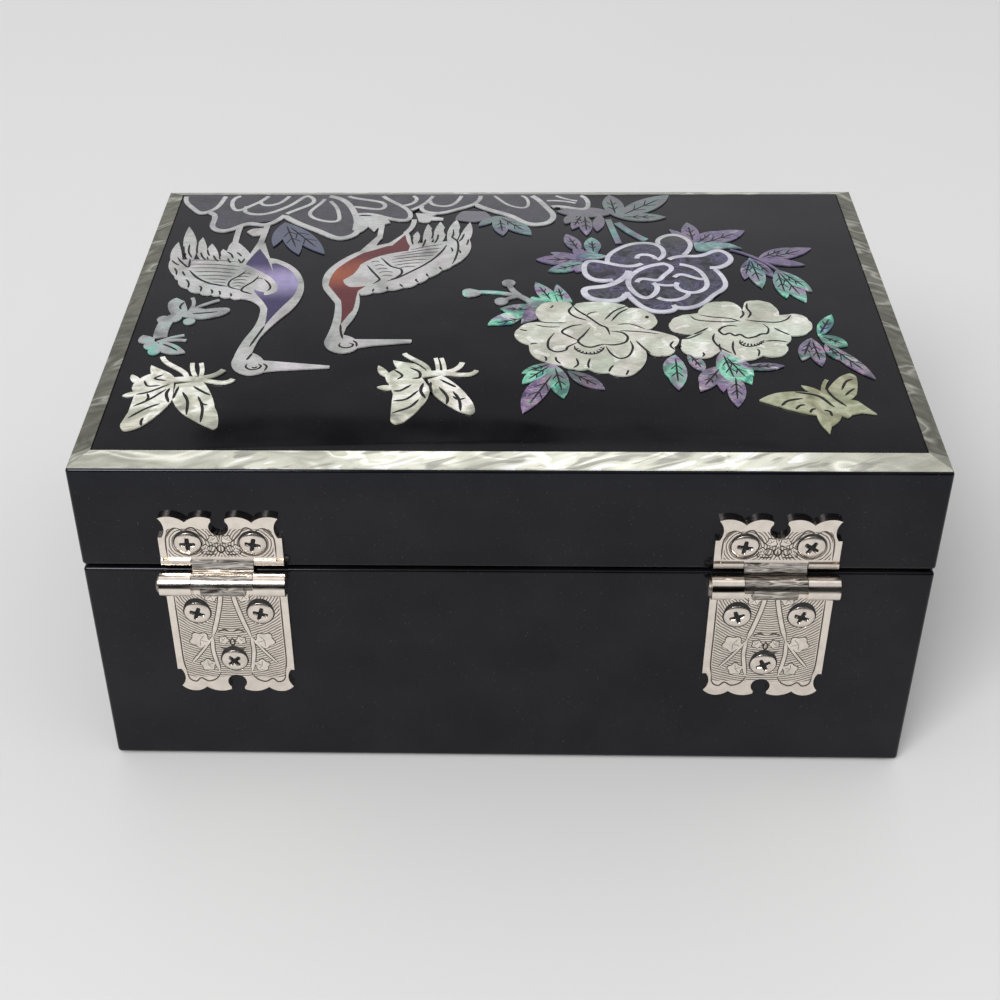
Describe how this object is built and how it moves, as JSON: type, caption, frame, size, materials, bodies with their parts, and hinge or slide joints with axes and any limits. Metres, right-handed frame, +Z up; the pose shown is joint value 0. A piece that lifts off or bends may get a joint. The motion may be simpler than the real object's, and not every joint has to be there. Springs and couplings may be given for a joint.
{
  "type": "jewelry box",
  "caption": "Rectangular lacquered jewelry box with a shell inlaid crowned lid on stop hinges, a front clasp, a mirror and a lined inside with ring rolls.",
  "frame": {"origin": "middle of the underside, on the surface that the box stands on", "axes": "+Z up, +Y out of the back where the hinges are, +X to the right of someone facing the front"},
  "size_m": [0.18, 0.1385, 0.0848],
  "materials": {
    "black_lacquer": "polished black lacquer",
    "bare_board": "sanded board",
    "white_shell": "polished white mother of pearl",
    "pearl_strip": "polished pearl shell strip",
    "grey_shell": "grey violet shell",
    "purple_shell": "shell dyed purple",
    "red_shell": "shell dyed red",
    "green_abalone": "green and blue abalone",
    "rose_abalone": "rose and violet abalone",
    "nickel": "engraved nickel plate",
    "velvet": "wine red velvet",
    "felt": "black felt",
    "mirror_glass": "silvered, bevelled edge"
  },
  "bodies": {
    "box_base": {"base_front_wall": "black_lacquer", "base_back_wall": "black_lacquer", "base_left_wall": "black_lacquer", "base_right_wall": "black_lacquer", "base_floor_board": "bare_board", "base_felt": "felt", "base_lining_floor": "velvet", "base_lining_front": "velvet", "base_lining_back": "velvet", "base_lining_left": "velvet", "base_lining_right": "velvet", "long_divider": "velvet", "cross_divider_left": "velvet", "cross_divider_right": "velvet", "ring_rolls": "velvet", "hinge_left_lower_leaf": "nickel", "hinge_left_pin": "nickel", "hinge_left_lower_screws": "nickel", "hinge_right_lower_leaf": "nickel", "hinge_right_pin": "nickel", "hinge_right_lower_screws": "nickel", "clasp_catch_plate": "nickel", "clasp_catch_screws": "nickel"},
    "lid": {"lid_front_wall": "black_lacquer", "lid_back_wall": "black_lacquer", "lid_left_wall": "black_lacquer", "lid_right_wall": "black_lacquer", "lid_top_board": "black_lacquer", "pearl_strip_front": "pearl_strip", "pearl_strip_back": "pearl_strip", "pearl_strip_left": "pearl_strip", "pearl_strip_right": "pearl_strip", "lid_lining_front": "velvet", "lid_lining_back": "velvet", "lid_lining_left": "velvet", "lid_lining_right": "velvet", "mirror": "mirror_glass", "mirror_frame": "velvet", "hinge_left_upper_leaf": "nickel", "hinge_left_upper_screws": "nickel", "hinge_right_upper_leaf": "nickel", "hinge_right_upper_screws": "nickel", "clasp_lid_plate": "nickel", "clasp_lid_screws": "nickel", "clasp_pin": "nickel", "inlay_crane_shells": "white_shell", "inlay_crane_body_purple": "purple_shell", "inlay_crane_body_red": "red_shell", "inlay_peonies_white": "white_shell", "inlay_peonies_outline": "white_shell", "inlay_peonies_fill": "grey_shell", "inlay_leaves_green": "green_abalone", "inlay_leaves_rose": "rose_abalone", "inlay_butterflies": "white_shell", "inlay_sprigs": "white_shell"},
    "clasp_tongue": {"clasp_tongue": "nickel"}
  },
  "joints": [
    {"name": "lid_hinge", "type": "hinge", "parent": "box_base", "child": "lid", "pos_m": [0.00165, 0.067, 0.0539], "axis": [-1, 0, 0], "range_deg": [0, 100]},
    {"name": "clasp_swing", "type": "hinge", "parent": "lid", "child": "clasp_tongue", "pos_m": [0, -0.0662, 0.0594], "axis": [-1, 0, 0], "range_deg": [0, 100]}
  ]
}
